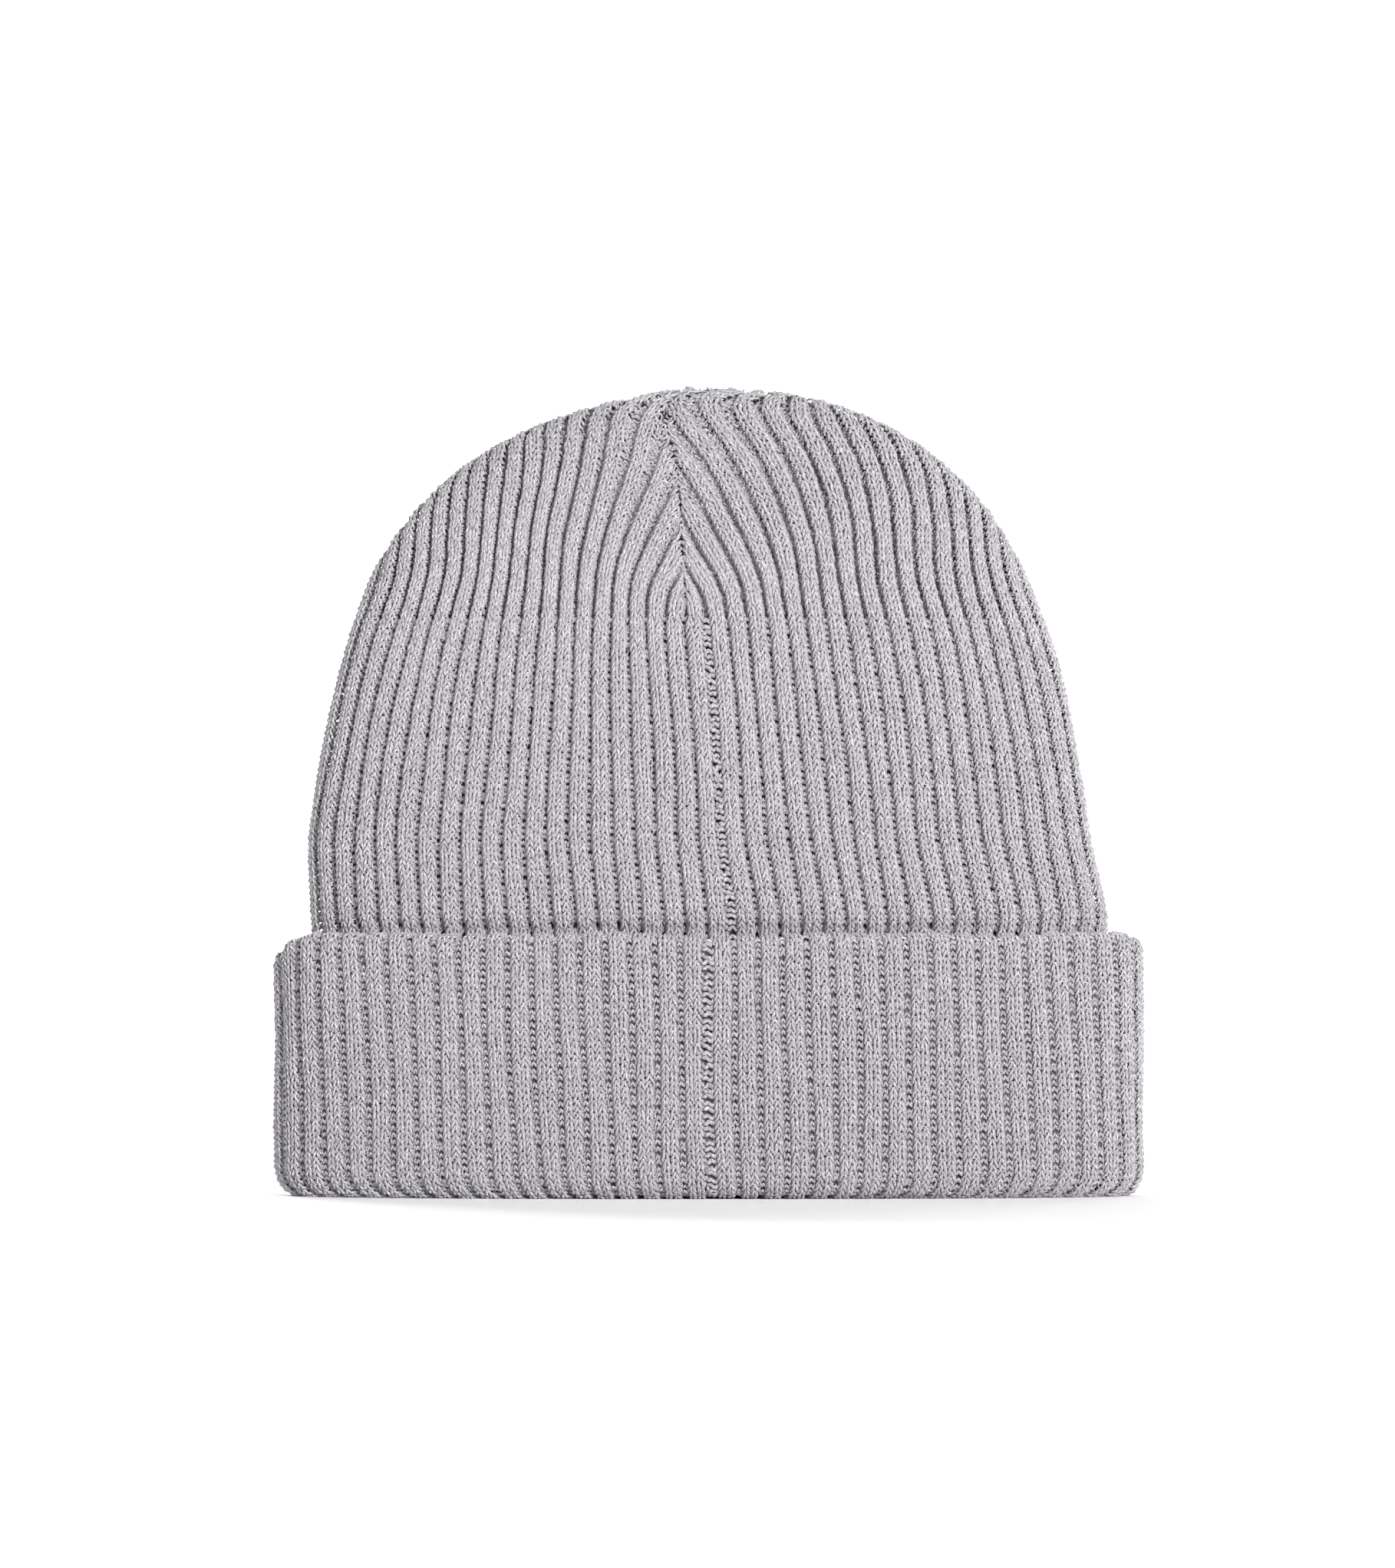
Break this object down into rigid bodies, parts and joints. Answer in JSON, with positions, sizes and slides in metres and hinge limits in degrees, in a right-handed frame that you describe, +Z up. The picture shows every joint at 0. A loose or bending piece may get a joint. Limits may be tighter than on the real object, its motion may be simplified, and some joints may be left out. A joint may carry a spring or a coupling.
{
  "type": "knit beanie",
  "caption": "Rib-knit beanie with a wide turned-up cuff and a crown closed by four darts.",
  "frame": {"origin": "middle of the cuff, on the surface that its bottom fold stands on", "axes": "+X along the hat's width to the wearer's right, +Y towards the front of the hat (the sewn seam, at the back, faces -Y), +Z up to the crown"},
  "size_m": [0.222, 0.054, 0.2057],
  "materials": {
    "knit_grey": "heather grey rib knit, matt and slightly fuzzy",
    "seam_thread": "matt grey sewing thread",
    "label_white": "soft off-white woven tape"
  },
  "bodies": {
    "cuff": {"cuff_band": "knit_grey", "cuff_seam": "seam_thread"},
    "crown": {"body_tube": "knit_grey", "back_seam": "seam_thread", "gore_back_right": "knit_grey", "gore_front_right": "knit_grey", "gore_front_left": "knit_grey", "gore_back_left": "knit_grey", "dart_seam_back": "seam_thread", "dart_seam_right": "seam_thread", "dart_seam_front": "seam_thread", "dart_seam_left": "seam_thread", "crown_tack": "seam_thread", "lining": "knit_grey", "care_label": "label_white"}
  },
  "joints": [
    {"name": "cuff_turn", "type": "slide", "parent": "cuff", "child": "crown", "axis": [0, 0, 1], "range_m": [0, 0.055]}
  ]
}
